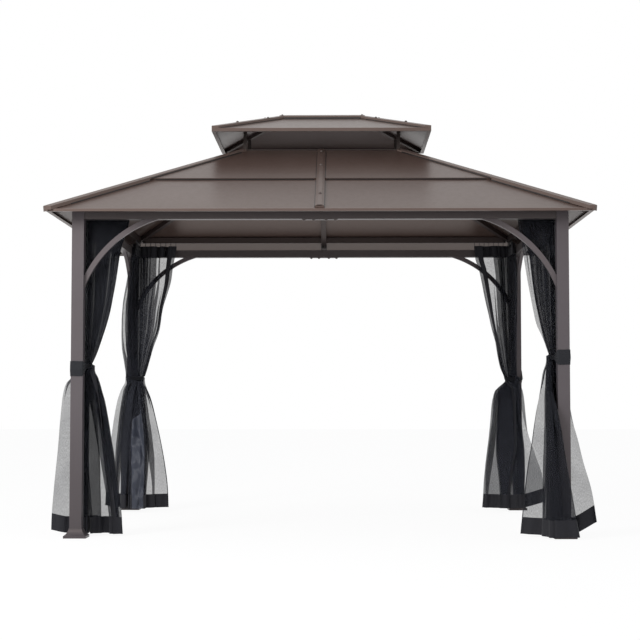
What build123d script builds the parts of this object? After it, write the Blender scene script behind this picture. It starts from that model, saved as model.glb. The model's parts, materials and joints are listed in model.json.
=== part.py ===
from build123d import *
import os
from math import acos, cos, degrees, radians, sin, sqrt, tan

# Hard-top garden gazebo: four posts, a beam ring with arched braces, a hipped sheet roof in two
# tiers and a net tied back at each post. Millimetres, +Z up, origin on the ground under the middle.
# X runs along the long side, and the front is at -Y.

# Clearances shared by all pieces
fit = 0.3

# Roof outlines, over the closed ends of the hip caps
roof_length = 3650
roof_width = 3050
eave_top = 2174
lower_pitch = 25.5
top_pitch = 18.9
top_eave_rise = 722
top_overhang = 231

# Posts and feet
eave_overhang = 147
post_size = 80
post_wall = 2
plate_size = 136
plate_thickness = 6
anchor_spacing = 104
anchor_hole = 11
cover_size = 150
cover_height = 64
cover_rim = 16
cover_wall = 2.5

# Beams with a bolted splice at mid length
beam_drop = 50
beam_height = 60
beam_depth = 66
beam_wall = 2
beam_joint = 1
splice_length = 240
splice_width = 46
splice_thickness = 3

# Arched braces, measured from the inner corner of post and beam
brace_drop = 420
brace_reach = 444
brace_radius = 780
brace_width = 34
brace_depth = 26

# Rafters, the saddles that carry them, and the rails under the eaves
rafter_width = 40
rafter_depth = 40
rafter_wall = 2
rafter_setback = 58
saddle_thickness = 3
saddle_length = 56
saddle_height = 52
rail_height = 46
rail_width = 20
rail_inset = 30

# Sheets: panels in two rows, turned trims, and caps over the joints
panel_thickness = 3
panel_lift = 10
seam_run = 590
panel_lap = 45
hip_gap = 12
rafter_gap = 6
trim_thickness = 2
trim_height = 16
trim_lip = 28
trim_flange = 14
cap_thickness = 2
cap_rise = 26
hip_cap_width = 78
hip_end_reach = 18
hip_end_start = 8
hip_end_thickness = 3.5
hip_end_drop = 10
rafter_cap_width = 60
rafter_cap_crown = 26
rafter_cap_edge = 7

# Crown frame round an opening that takes a fixed share of the plan, and the top tier
crown_area_share = 0.06027
crown_bar = 25
crown_upstand = 6
top_rafter_width = 26
top_rafter_depth = 28
top_trim_height = 23
top_cap_rise = 20
top_hip_cap_width = 72
ridge_cap_width = 84
ridge_cap_overhang = 24

# Nets, gathered at the posts, and the bands that tie them
net_reach = 340
net_bunch = 72
net_skirt = 245
net_hem = 16
net_clearance = 3
tie_height = 100
tie_thickness = 2.5
tie_margin = 8
tie_level_front_left = 1122
tie_level_front_right = 1205
tie_level_back_left = 1110
tie_level_back_right = 1115

# Outlines of a net from the inner corner of its post: shares of reach, bunch and skirt
net_top_shares = ((0.03, 0.03), (1.0, 0.03), (1.0, 0.13), (0.13, 0.13), (0.13, 1.0), (0.03, 1.0))
net_fall_shares = ((0.02, 0.02), (0.62, 0.02), (0.62, 0.17), (0.17, 0.17), (0.17, 0.62), (0.02, 0.62))
net_tie_shares = ((0.0, 0.0), (1.0, 0.0), (1.0, 0.7), (0.7, 0.7), (0.7, 1.0), (0.0, 1.0))
net_flare_shares = ((-0.6, 0.02), (0.48, 0.02), (0.48, 0.3), (0.3, 0.3), (0.3, 0.55), (-0.6, 0.55))
net_hem_shares = ((-0.95, 0.12), (1.0, 0.12), (1.0, 0.9), (0.6, 0.9), (0.6, 1.2), (-0.95, 1.2))
net_fall_level_share = 0.5
net_flare_level_share = 0.87

# Sizes worked out from the values above
half_length = roof_length / 2 - hip_end_reach
half_width = roof_width / 2 - hip_end_reach
post_x = half_length - eave_overhang - post_size / 2
post_y = half_width - eave_overhang - post_size / 2
inner_x = post_x - post_size / 2
inner_y = post_y - post_size / 2
beam_underside = eave_top - beam_drop
beam_top = beam_underside + beam_height
lower_slope = tan(radians(lower_pitch))
lower_stretch = 1 / cos(radians(lower_pitch))
top_slope = tan(radians(top_pitch))
top_stretch = 1 / cos(radians(top_pitch))
cover_build = trim_thickness + fit + panel_thickness
eave_base = eave_top - cover_build * lower_stretch
top_eave_top = eave_top + top_eave_rise
top_eave_base = top_eave_top - cover_build * top_stretch
panel_start = trim_thickness + panel_thickness + fit
upper_lift = panel_thickness + panel_lift
plan_sum = half_length + half_width
roofed_area = half_length * half_width * (1 - crown_area_share)
crown_run = (plan_sum - sqrt(plan_sum**2 - 4 * roofed_area)) / 2
crown_x = half_length - crown_run
crown_y = half_width - crown_run
crown_base = eave_base + crown_run * lower_slope
crown_bottom = crown_base - rafter_depth * lower_stretch
crown_top = crown_base + (upper_lift + panel_thickness) * lower_stretch + crown_upstand
crown_post_x = crown_x - crown_bar / 2
crown_post_y = crown_y - crown_bar / 2
top_half_length = crown_post_x + top_overhang
top_half_width = crown_post_y + top_overhang
ridge_half = top_half_length - top_half_width
ridge_base = top_eave_base + top_half_width * top_slope
rail_y = inner_y - rail_inset
rail_x = inner_x - rail_inset
rail_top = eave_base + (half_width - rail_y - rail_width / 2) * lower_slope
rail_bottom = rail_top - rail_height

os.makedirs("parts", exist_ok=True)
nodes = {}

corners = {
    "front_left": (-1, -1, tie_level_front_left),
    "front_right": (1, -1, tie_level_front_right),
    "back_left": (-1, 1, tie_level_back_left),
    "back_right": (1, 1, tie_level_back_right),
}


def across(pitch):
    """Fall of each roof slope, in degrees, in a section square to a 45 degree hip."""
    return degrees(acos(cos(radians(pitch)) ** 2)) / 2


def slope_plane(outward, half, base, pitch):
    """Plane of a slope from the middle of its eave: x along the eave, y up the slope."""
    along = (-outward[1], outward[0], 0)
    middle = (outward[0] * half, outward[1] * half, base)
    lean = sin(radians(pitch))
    upright = cos(radians(pitch))
    return Plane(middle, x_dir=along, z_dir=(outward[0] * lean, outward[1] * lean, upright))


def rafter_section_plane(outward, half, base, pitch):
    """Section square to a slope's middle line: y is the slope's own normal."""
    slope = slope_plane(outward, half, base, pitch)
    return Plane(slope.origin, x_dir=-slope.x_dir, z_dir=slope.y_dir)


def hip_section_plane(half_x, half_y, base, slope):
    """Section square to the front left hip, from its eave corner: y is up."""
    return Plane((-half_x, -half_y, base), x_dir=(-1, 1, 0), z_dir=(1, 1, slope))


def hip_length(run, slope):
    """Length along a hip for a plan distance from the eave."""
    return run * sqrt(2 + slope**2)


def folded_section(plane, points, thickness):
    """Section of a folded sheet whose outer line runs through the points, thickened to the right."""
    with BuildSketch(plane) as section:
        with BuildLine():
            outer_line = Polyline(*points)
            offset(outer_line, amount=thickness, side=Side.RIGHT)
        make_face()
    return section.sketch


def mirrored(source, *planes):
    """The source piece reflected in each plane in turn."""
    piece = source.part
    for plane in planes:
        piece = piece.mirror(plane)
    with BuildPart() as copy:
        add(piece)
    return copy


def both_sides(name, source_front, source_left):
    """Front and left pieces with their reflections as back and right."""
    nodes["front_" + name] = source_front
    nodes["back_" + name] = mirrored(source_front, Plane.XZ)
    nodes["left_" + name] = source_left
    nodes["right_" + name] = mirrored(source_left, Plane.YZ)


def four_corners(source):
    """The front left solid repeated at all four corners as one node."""
    with BuildPart() as group:
        add(source.part)
        mirror(about=Plane.XZ)
        mirror(about=Plane.YZ)
    return group


# Posts: square tubes on welded foot plates with anchor holes
with BuildPart() as post:
    with BuildSketch():
        with Locations((post_x, post_y)):
            Rectangle(plate_size, plate_size)
            with GridLocations(anchor_spacing, anchor_spacing, 2, 2):
                Circle(anchor_hole / 2, mode=Mode.SUBTRACT)
    extrude(amount=plate_thickness)
    with BuildSketch(Plane.XY.offset(plate_thickness)):
        with Locations((post_x, post_y)):
            Rectangle(post_size, post_size)
            Rectangle(post_size - 2 * post_wall, post_size - 2 * post_wall, mode=Mode.SUBTRACT)
    extrude(amount=beam_top - plate_thickness)
nodes["post_back_right"] = post
nodes["post_back_left"] = mirrored(post, Plane.YZ)
nodes["post_front_right"] = mirrored(post, Plane.XZ)
nodes["post_front_left"] = mirrored(post, Plane.YZ, Plane.XZ)


# Foot covers: flared skirts over the plates, hollow sides curving in to the post
def flare_section(plane, size, top):
    """Outline of the flare in one direction, from rim to post."""
    rim = size / 2
    neck = top / 2
    with BuildSketch(plane) as section:
        with BuildLine():
            Line((-rim, 0), (rim, 0))
            Line((rim, 0), (rim, cover_rim))
            RadiusArc((rim, cover_rim), (neck, cover_height), cover_height)
            Line((neck, cover_height), (-neck, cover_height))
            RadiusArc((-neck, cover_height), (-rim, cover_rim), cover_height)
            Line((-rim, cover_rim), (-rim, 0))
        make_face()
    return section.sketch


def flare(size, top):
    """Solid with the flare on all four sides of a post."""
    centre = Vector(post_x, post_y, 0)
    flare_x = Plane(centre, x_dir=(1, 0, 0), z_dir=(0, -1, 0))
    flare_y = Plane(centre, x_dir=(0, 1, 0), z_dir=(1, 0, 0))
    with BuildPart() as solid:
        extrude(flare_section(flare_x, size, top), amount=size, both=True)
        extrude(flare_section(flare_y, size, top), amount=size, both=True, mode=Mode.INTERSECT)
    return solid


cover_bore = post_size + 2 * fit
with BuildPart() as foot_cover:
    add(flare(cover_size, cover_bore + 2 * cover_wall).part)
    add(flare(cover_size - 2 * cover_wall, cover_bore).part, mode=Mode.SUBTRACT)
nodes["foot_covers"] = four_corners(foot_cover)


# Beams: tubes between the posts, the long ones in two halves on a splice plate
def beam_section(plane):
    """Tube section of a beam about the plane's origin."""
    with BuildSketch(plane) as section:
        Rectangle(beam_depth, beam_height)
        Rectangle(beam_depth - 2 * beam_wall, beam_height - 2 * beam_wall, mode=Mode.SUBTRACT)
    return section.sketch


beam_level = beam_underside + beam_height / 2
long_plane = Plane((beam_joint / 2, -post_y, beam_level), x_dir=(0, 1, 0), z_dir=(1, 0, 0))
with BuildPart() as front_beam:
    extrude(beam_section(long_plane), amount=inner_x - beam_joint / 2)
    mirror(about=Plane.YZ)
short_plane = Plane((-post_x, 0, beam_level), x_dir=(1, 0, 0), z_dir=(0, 1, 0))
with BuildPart() as left_beam:
    extrude(beam_section(short_plane), amount=inner_y, both=True)
both_sides("beam", front_beam, left_beam)

with BuildPart() as beam_splices:
    with BuildSketch(Plane.XY.offset(beam_underside - splice_thickness)):
        with GridLocations(0, 2 * post_y, 1, 2):
            Rectangle(splice_length, splice_width)
    extrude(amount=splice_thickness)
nodes["beam_splices"] = beam_splices


# Braces: two arched bars at each post, ends flush with the post and under the beam
def brace_section(plane):
    """Band of a circle in the corner at the plane's origin, x into the opening and y up."""
    chord = sqrt(brace_reach**2 + brace_drop**2)
    rise = sqrt(brace_radius**2 - chord**2 / 4)
    centre_x = brace_reach / 2 + rise * brace_drop / chord
    centre_y = -brace_drop / 2 - rise * brace_reach / chord
    reach = brace_reach + 2 * brace_width
    drop = brace_drop + 2 * brace_width
    with BuildSketch(plane) as section:
        with Locations((centre_x, centre_y)):
            Circle(brace_radius + brace_width / 2)
            Circle(brace_radius - brace_width / 2, mode=Mode.SUBTRACT)
        with Locations((reach / 2, -drop / 2)):
            Rectangle(reach, drop, mode=Mode.INTERSECT)
    return section.sketch


with BuildPart() as brace:
    along_x = Plane((-inner_x, -post_y, beam_underside), x_dir=(1, 0, 0), z_dir=(0, -1, 0))
    along_y = Plane((-post_x, -inner_y, beam_underside), x_dir=(0, 1, 0), z_dir=(1, 0, 0))
    extrude(brace_section(along_x), amount=brace_depth / 2, both=True)
    extrude(brace_section(along_y), amount=brace_depth / 2, both=True)
nodes["braces_front_left"] = brace
nodes["braces_front_right"] = mirrored(brace, Plane.YZ)
nodes["braces_back_left"] = mirrored(brace, Plane.XZ)
nodes["braces_back_right"] = mirrored(brace, Plane.XZ, Plane.YZ)


# Rafters: hip bars with tops backed to both slopes, and a middle bar on each slope
def hip_bar_section(plane, width, depth, wall, pitch):
    """House-shaped tube whose top lies in both slopes."""
    shoulder = width / 2 * tan(radians(across(pitch)))
    with BuildSketch(plane) as section:
        with BuildLine():
            Polyline(
                (0, 0),
                (width / 2, -shoulder),
                (width / 2, -depth),
                (-width / 2, -depth),
                (-width / 2, -shoulder),
                close=True,
            )
        make_face()
        offset(amount=-wall, kind=Kind.INTERSECTION, mode=Mode.SUBTRACT)
    return section.sketch


hip_plane = hip_section_plane(half_length, half_width, eave_base, lower_slope)
with BuildPart() as hip_rafter:
    start = hip_plane.offset(hip_length(rafter_setback, lower_slope))
    bar = hip_bar_section(start, rafter_width, rafter_depth, rafter_wall, lower_pitch)
    extrude(bar, amount=hip_length(crown_run, lower_slope))
    split(bisect_by=Plane((-crown_x, -crown_y, 0), z_dir=(1, 1, 0)).offset(-fit), keep=Keep.BOTTOM)
nodes["hip_rafters"] = four_corners(hip_rafter)


def middle_bar(outward, half):
    """Tube up the middle of a slope, from behind the eave trim to the crown frame."""
    section_plane = rafter_section_plane(outward, half, eave_base, lower_pitch)
    with BuildPart() as bar:
        with BuildSketch(section_plane.offset(rafter_setback * lower_stretch)):
            with Locations((0, -rafter_depth / 2)):
                Rectangle(rafter_width, rafter_depth)
                inner_width = rafter_width - 2 * rafter_wall
                Rectangle(inner_width, rafter_depth - 2 * rafter_wall, mode=Mode.SUBTRACT)
        extrude(amount=crown_run * lower_stretch)
        face = Vector(*outward) * (half - crown_run)
        split(bisect_by=Plane(face, z_dir=outward), keep=Keep.TOP)
    return bar


front_outward = (0, -1, 0)
left_outward = (-1, 0, 0)
with BuildPart() as middle_rafters:
    add(middle_bar(front_outward, half_width).part)
    add(middle_bar(left_outward, half_length).part)
    mirror(about=Plane.XZ)
    mirror(about=Plane.YZ)
nodes["middle_rafters"] = middle_rafters


# Saddles: cheeks that hold each rafter over a beam or a post top
def saddle(centre, direction):
    """Base plate on the support and a cheek on each side of the rafter."""
    base = Plane(centre, x_dir=direction, z_dir=(0, 0, 1))
    gap = rafter_width + 2 * fit
    with BuildPart() as bracket:
        with BuildSketch(base):
            Rectangle(saddle_length, gap + 2 * saddle_thickness)
        extrude(amount=saddle_thickness)
        with BuildSketch(base.offset(saddle_thickness)):
            with GridLocations(0, gap + saddle_thickness, 1, 2):
                Rectangle(saddle_length, saddle_thickness)
        extrude(amount=saddle_height - saddle_thickness)
    return bracket


with BuildPart() as rafter_saddles:
    add(saddle((-post_x, -post_y, beam_top), (1, 1, 0)).part)
    add(saddle((0, -post_y, beam_top), (0, 1, 0)).part)
    add(saddle((-post_x, 0, beam_top), (1, 0, 0)).part)
    mirror(about=Plane.XZ)
    mirror(about=Plane.YZ)
nodes["rafter_saddles"] = rafter_saddles


# Curtain rails: bars under the panels between hip and middle rafters, for the nets' hooks
def rail(outward, half, offset_in):
    """One half rail along a slope, mitred against the hip rafter."""
    along = Vector(-outward[1], outward[0], 0)
    out = Vector(*outward)
    length = half - rafter_width / 2
    middle = out * offset_in + along * (rafter_width / 2 + length / 2)
    hip_foot = out * offset_in + along * (half - eave_overhang - post_size - rail_inset)
    with BuildPart() as bar:
        with BuildSketch(Plane((middle.X, middle.Y, rail_bottom), x_dir=along, z_dir=(0, 0, 1))):
            Rectangle(length, rail_width)
        extrude(amount=rail_height)
        mitre = Plane(hip_foot, z_dir=along - out).offset(-rafter_width / 2 - fit)
        split(bisect_by=mitre, keep=Keep.BOTTOM)
    return bar


with BuildPart() as curtain_rails:
    add(rail(front_outward, half_length, rail_y).part)
    add(rail(left_outward, half_width, rail_x).part)
    mirror(about=Plane.XZ)
    mirror(about=Plane.YZ)
nodes["curtain_rails"] = curtain_rails


# Crown frame: four bars round the opening in the lower tier, with posts for the top tier
with BuildPart() as crown_frame:
    with BuildSketch(Plane.XY.offset(crown_bottom)):
        with GridLocations(0, 2 * crown_post_y, 1, 2):
            Rectangle(2 * crown_x, crown_bar)
        with GridLocations(2 * crown_post_x, 0, 2, 1):
            Rectangle(crown_bar, 2 * (crown_y - crown_bar - fit))
    extrude(amount=crown_top - crown_bottom)
nodes["crown_frame"] = crown_frame

top_hip_plane = hip_section_plane(top_half_length, top_half_width, top_eave_base, top_slope)
under_hip = Plane(top_hip_plane.origin, x_dir=top_hip_plane.x_dir, z_dir=top_hip_plane.y_dir)
with BuildPart() as crown_post:
    with BuildSketch(Plane.XY.offset(crown_top)):
        with Locations((-crown_post_x, -crown_post_y)):
            Rectangle(crown_bar, crown_bar)
    extrude(amount=top_half_width)
    split(bisect_by=under_hip.offset(-top_rafter_depth - fit), keep=Keep.BOTTOM)
nodes["crown_posts"] = four_corners(crown_post)


# Lower panels: flat sheets on the rafters. Upper panels: lifted pans that lap over them
def half_panel(outward, half, half_eave, low, high, lift):
    """Left or right sheet of one row of a slope, between plan distances low and high."""
    plane = slope_plane(outward, half, eave_base, lower_pitch)
    v_low = low * lower_stretch
    v_high = high * lower_stretch
    with BuildPart() as sheet:
        with BuildSketch(plane.offset(lift)):
            with BuildLine():
                Polyline(
                    (rafter_gap, v_low),
                    (half_eave - low - hip_gap, v_low),
                    (half_eave - high - hip_gap, v_high),
                    (rafter_gap, v_high),
                    close=True,
                )
            make_face()
        extrude(amount=panel_thickness)
        if lift > 0:
            bearing = low + panel_lap + panel_thickness
            v_bear = bearing * lower_stretch
            lip_low = half_eave - low - hip_gap
            lip_high = lip_low - panel_thickness / lower_stretch
            with BuildSketch(plane.offset(panel_thickness + fit)):
                with BuildLine():
                    Polyline(
                        (rafter_gap, v_low),
                        (lip_low, v_low),
                        (lip_high, v_low + panel_thickness),
                        (rafter_gap, v_low + panel_thickness),
                        close=True,
                    )
                make_face()
            extrude(amount=lift - panel_thickness - fit)
            with BuildSketch(plane):
                with BuildLine():
                    Polyline(
                        (rafter_gap, v_bear),
                        (rafter_gap + panel_thickness, v_bear),
                        (rafter_gap + panel_thickness, v_high),
                        (rafter_gap, v_high),
                        close=True,
                    )
                make_face()
                with BuildLine():
                    Polyline(
                        (half_eave - bearing - hip_gap - panel_thickness, v_bear),
                        (half_eave - bearing - hip_gap, v_bear),
                        (half_eave - high - hip_gap, v_high),
                        (half_eave - high - hip_gap - panel_thickness, v_high),
                        close=True,
                    )
                make_face()
            extrude(amount=lift)
    return sheet


def panel_pair(outward, half, half_eave, low, high, lift, plane):
    """Both sheets of a row, either side of the middle rafter."""
    with BuildPart() as pair:
        add(half_panel(outward, half, half_eave, low, high, lift).part)
        mirror(about=plane)
    return pair


crown_edge = crown_run - fit
lower_row = (panel_start, seam_run + panel_lap, 0)
upper_row = (seam_run, crown_edge, upper_lift)
both_sides(
    "lower_panels",
    panel_pair(front_outward, half_width, half_length, *lower_row, Plane.YZ),
    panel_pair(left_outward, half_length, half_width, *lower_row, Plane.XZ),
)
both_sides(
    "upper_panels",
    panel_pair(front_outward, half_width, half_length, *upper_row, Plane.YZ),
    panel_pair(left_outward, half_length, half_width, *upper_row, Plane.XZ),
)


# Eave trims: turned channels over the panel edges, mitred at the corners
def eave_trim(outward, half, half_eave, top, height, pitch):
    """Channel with a lip below and a flange on the panels."""
    out = Vector(*outward)
    along = Vector(-outward[1], outward[0], 0)
    bottom = top - height
    flange_in = trim_flange * cos(radians(pitch))
    flange_up = trim_flange * sin(radians(pitch))
    middle = out * half
    points = ((trim_lip, bottom), (0, bottom), (0, top), (flange_in, top + flange_up))
    section_plane = Plane(middle, x_dir=-out, z_dir=along)
    with BuildPart() as channel:
        extrude(folded_section(section_plane, points, trim_thickness), amount=half_eave, both=True)
        split(bisect_by=Plane(middle - along * half_eave, z_dir=along + out).offset(fit), keep=Keep.TOP)
        split(bisect_by=Plane(middle + along * half_eave, z_dir=out - along).offset(fit), keep=Keep.TOP)
    return channel


both_sides(
    "eave_trim",
    eave_trim(front_outward, half_width, half_length, eave_top, trim_height, lower_pitch),
    eave_trim(left_outward, half_length, half_width, eave_top, trim_height, lower_pitch),
)


# Caps: folded strips over the hips and the middle rafters
def hip_cap_points(width, rise, lip, pitch):
    """Outer line of a hip cap in the hip's section: two wings with turned-down edges."""
    fall = radians(across(pitch))
    crown = (rise + cap_thickness) / cos(fall)
    edge_x = width / 2 * cos(fall)
    edge_y = crown - width / 2 * sin(fall)
    drop = (rise + cap_thickness - lip) / cos(fall) - cap_thickness * tan(fall)
    left = ((-edge_x, edge_y - drop), (-edge_x, edge_y))
    right = ((edge_x, edge_y), (edge_x, edge_y - drop))
    return *left, (0, crown), *right


def closed_end(plane, points, lip, pitch):
    """Filled section that closes the eave end of a hip cap."""
    peak = lip / cos(radians(across(pitch)))
    with BuildSketch(plane) as section:
        with BuildLine():
            Polyline(*points, (0, peak), close=True)
        make_face()
    return section.sketch


def end_plate(plane, points, drop):
    """Section of the plate that closes a hip cap and hangs in front of the trims' corner."""
    left, crown, right = points[1:-1]
    with BuildSketch(plane) as section:
        with BuildLine():
            Polyline((left[0], -drop), left, crown, right, (right[0], -drop), close=True)
        make_face()
    return section.sketch


def cut_square(half_x, half_y):
    """Cut the piece being built square to the two eaves at the front left corner."""
    split(bisect_by=Plane((-half_x, 0, 0), z_dir=(1, 0, 0)), keep=Keep.TOP)
    split(bisect_by=Plane((0, -half_y, 0), z_dir=(0, 1, 0)), keep=Keep.TOP)


lower_lip = panel_thickness + trim_thickness + 2 * fit
upper_lip = upper_lift + panel_thickness + fit
with BuildPart() as hip_cap:
    seam = hip_plane.offset(hip_length(seam_run, lower_slope))
    low_points = hip_cap_points(hip_cap_width, cap_rise, lower_lip, lower_pitch)
    high_points = hip_cap_points(hip_cap_width, cap_rise, upper_lip, lower_pitch)
    start = hip_plane.offset(-hip_end_start)
    low_strip = folded_section(start, low_points, cap_thickness)
    high_strip = folded_section(seam, high_points, cap_thickness)
    extrude(low_strip, amount=hip_end_start + hip_length(seam_run, lower_slope))
    extrude(closed_end(start, low_points, lower_lip, lower_pitch), amount=hip_cap_width / 2)
    extrude(end_plate(start, low_points, hip_end_drop), amount=hip_end_thickness)
    extrude(high_strip, amount=hip_length(crown_run, lower_slope))
    split(bisect_by=Plane((-crown_x, -crown_y, 0), z_dir=(1, 1, 0)).offset(-fit), keep=Keep.BOTTOM)
    cut_square(half_length + hip_end_reach, half_width + hip_end_reach)
nodes["hip_caps"] = four_corners(hip_cap)


def rafter_cap(outward, half):
    """Raised strip up the middle of a slope, with a flat crown and turned-down edges."""
    section_plane = rafter_section_plane(outward, half, eave_base, lower_pitch)
    edge = rafter_cap_width / 2
    crown = rafter_cap_crown / 2
    top = cap_rise + cap_thickness
    shoulder = top - rafter_cap_edge
    start = section_plane.offset(trim_flange)
    seam = section_plane.offset(seam_run * lower_stretch)
    rows = (
        (start, lower_lip, seam_run * lower_stretch - trim_flange),
        (seam, upper_lip, (crown_run - seam_run) * lower_stretch),
    )
    with BuildPart() as strip:
        with BuildSketch(start):
            with Locations((0, lower_lip)):
                Rectangle(rafter_cap_width, shoulder - lower_lip, align=(Align.CENTER, Align.MIN))
        extrude(amount=cap_thickness)
        for plane, lip, length in rows:
            left = ((-edge, lip), (-edge, shoulder), (-crown, top))
            right = ((crown, top), (edge, shoulder), (edge, lip))
            extrude(folded_section(plane, (*left, *right), cap_thickness), amount=length)
        face = Vector(*outward) * (half - crown_run)
        split(bisect_by=Plane(face, z_dir=outward).offset(fit), keep=Keep.TOP)
    return strip


with BuildPart() as rafter_caps:
    add(rafter_cap(front_outward, half_width).part)
    add(rafter_cap(left_outward, half_length).part)
    mirror(about=Plane.XZ)
    mirror(about=Plane.YZ)
nodes["rafter_caps"] = rafter_caps

# Top tier frame: hip bars from the eave corners to a ridge bar
with BuildPart() as top_hip_bar:
    start = top_hip_plane.offset(hip_length(trim_lip + top_rafter_width / 2, top_slope))
    bar = hip_bar_section(start, top_rafter_width, top_rafter_depth, rafter_wall, top_pitch)
    extrude(bar, amount=hip_length(top_half_width, top_slope))
    ridge_end = Plane((-ridge_half, 0, 0), z_dir=(1, 1, 0))
    split(bisect_by=ridge_end.offset(-top_rafter_width / 2 - fit), keep=Keep.BOTTOM)
with BuildPart() as ridge_bar:
    shoulder = top_rafter_width / 2 * top_slope
    with BuildSketch(Plane((0, 0, ridge_base), x_dir=(0, 1, 0), z_dir=(1, 0, 0))):
        with BuildLine():
            Polyline(
                (0, 0),
                (top_rafter_width / 2, -shoulder),
                (top_rafter_width / 2, -top_rafter_depth),
                (-top_rafter_width / 2, -top_rafter_depth),
                (-top_rafter_width / 2, -shoulder),
                close=True,
            )
        make_face()
    extrude(amount=ridge_half + top_rafter_width / 2 * (sqrt(2) - 1), both=True)
with BuildPart() as top_rafters:
    add(four_corners(top_hip_bar).part)
    add(ridge_bar.part)
nodes["top_rafters"] = top_rafters


# Top tier sheets: two long panels and two end panels
def top_panel(outward, half, half_eave):
    """Sheet of a top slope, from the eave trim to just short of the ridge."""
    plane = slope_plane(outward, half, top_eave_base, top_pitch)
    low = panel_start
    high = top_half_width - 2 * hip_gap
    wide = half_eave - low - hip_gap
    narrow = half_eave - high - hip_gap
    with BuildPart() as sheet:
        with BuildSketch(plane):
            with BuildLine():
                Polyline(
                    (-wide, low * top_stretch),
                    (wide, low * top_stretch),
                    (narrow, high * top_stretch),
                    (-narrow, high * top_stretch),
                    close=True,
                )
            make_face()
        extrude(amount=panel_thickness)
    return sheet


both_sides(
    "top_panel",
    top_panel(front_outward, top_half_width, top_half_length),
    top_panel(left_outward, top_half_length, top_half_width),
)
top_trim = (top_eave_top, top_trim_height, top_pitch)
with BuildPart() as top_eave_trims:
    add(eave_trim(front_outward, top_half_width, top_half_length, *top_trim).part)
    add(eave_trim(left_outward, top_half_length, top_half_width, *top_trim).part)
    mirror(about=Plane.XZ)
    mirror(about=Plane.YZ)
nodes["top_eave_trims"] = top_eave_trims

with BuildPart() as top_hip_cap:
    points = hip_cap_points(top_hip_cap_width, top_cap_rise, lower_lip, top_pitch)
    strip = folded_section(top_hip_plane, points, cap_thickness)
    extrude(strip, amount=hip_length(top_half_width, top_slope))
    extrude(closed_end(top_hip_plane, points, lower_lip, top_pitch), amount=top_hip_cap_width / 2)
    with BuildSketch():
        Rectangle(2 * (ridge_half + ridge_cap_overhang + fit), ridge_cap_width + 2 * fit)
    extrude(amount=ridge_base + ridge_cap_width, mode=Mode.SUBTRACT)
    split(bisect_by=Plane.XZ.offset(fit), keep=Keep.TOP)
    cut_square(top_half_length, top_half_width)
nodes["top_hip_caps"] = four_corners(top_hip_cap)

with BuildPart() as top_ridge_cap:
    rise = top_cap_rise + cap_thickness + fit
    crown = (rise + cap_thickness) * top_stretch
    wing = ridge_cap_width / 2
    wing_edge = crown - wing * top_slope
    wing_lip = (panel_thickness + fit) * top_stretch - (wing - cap_thickness) * top_slope
    points = ((-wing, wing_lip), (-wing, wing_edge), (0, crown), (wing, wing_edge), (wing, wing_lip))
    ridge_section = Plane((0, 0, ridge_base), x_dir=(0, 1, 0), z_dir=(1, 0, 0))
    strip = folded_section(ridge_section, points, cap_thickness)
    extrude(strip, amount=ridge_half + ridge_cap_overhang, both=True)
nodes["top_ridge_cap"] = top_ridge_cap


# Nets: each hangs from the rails, is tied to its post and spreads again to the hem
def net_ring(side_x, side_y, level, shares, reach):
    """Corners of a net's outline at one level, from the inner corner of its post."""
    corner_x = side_x * (inner_x - net_clearance)
    corner_y = side_y * (inner_y - net_clearance)
    return [(corner_x - side_x * a * reach, corner_y - side_y * b * reach, level) for a, b in shares]


def net(side_x, side_y, tie_level):
    """Soft solid of one gathered net."""
    tie_top = tie_level + tie_height / 2 + tie_margin
    tie_bottom = tie_level - tie_height / 2 - tie_margin
    top = rail_bottom - fit
    fall = tie_top + (top - tie_top) * net_fall_level_share
    flare_level = net_hem + (tie_bottom - net_hem) * net_flare_level_share
    levels = (
        (top, net_top_shares, net_reach),
        (fall, net_fall_shares, net_reach),
        (tie_top, net_tie_shares, net_bunch),
        (tie_bottom, net_tie_shares, net_bunch),
        (flare_level, net_flare_shares, net_skirt),
        (net_hem, net_hem_shares, net_skirt),
    )
    rings = [net_ring(side_x, side_y, *level) for level in levels]
    flats = [rings[0], rings[-1]]
    for high, low in zip(rings, rings[1:]):
        flats += [(high[i - 1], high[i], low[i], low[i - 1]) for i in range(len(high))]
    with BuildPart() as cloth:
        add(Solid(Shell([Face(Wire.make_polygon(flat)) for flat in flats])))
        with BuildSketch():
            with Locations((side_x * post_x, side_y * post_y)):
                Rectangle(cover_size + 2 * net_clearance, cover_size + 2 * net_clearance)
        extrude(amount=cover_height + net_clearance, mode=Mode.SUBTRACT)
    return cloth


def tie_band(side_x, side_y, tie_level):
    """Fabric strap pulled round a post and its gathered net."""
    reach = post_size + net_clearance
    bunch = [(a * net_bunch, b * net_bunch) for a, b in net_tie_shares]
    hull = [(-reach, -reach), (-net_clearance, -reach)]
    hull += [bunch[1], bunch[2], bunch[4], bunch[5]]
    hull += [(-reach, -net_clearance)]
    corner_x = side_x * (inner_x - net_clearance)
    corner_y = side_y * (inner_y - net_clearance)
    points = [(corner_x - side_x * a, corner_y - side_y * b) for a, b in hull]
    with BuildPart() as strap:
        with BuildSketch(Plane.XY.offset(tie_level - tie_height / 2)):
            with BuildLine():
                Polyline(*points, close=True)
            bundle = make_face(mode=Mode.PRIVATE)
            offset(bundle, amount=fit + tie_thickness, kind=Kind.INTERSECTION)
            offset(bundle, amount=fit, kind=Kind.INTERSECTION, mode=Mode.SUBTRACT)
        extrude(amount=tie_height)
    return strap


for place, (side_x, side_y, tie_level) in corners.items():
    nodes["net_" + place] = net(side_x, side_y, tie_level)
with BuildPart() as tie_bands:
    for side_x, side_y, tie_level in corners.values():
        add(tie_band(side_x, side_y, tie_level).part)
nodes["tie_bands"] = tie_bands

for node, builder in nodes.items():
    builder.part.label = node
    export_step(builder.part, f"parts/{node}.step")
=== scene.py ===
import json
import math
import random

import bmesh
import bpy
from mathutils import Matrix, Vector, noise


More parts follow.
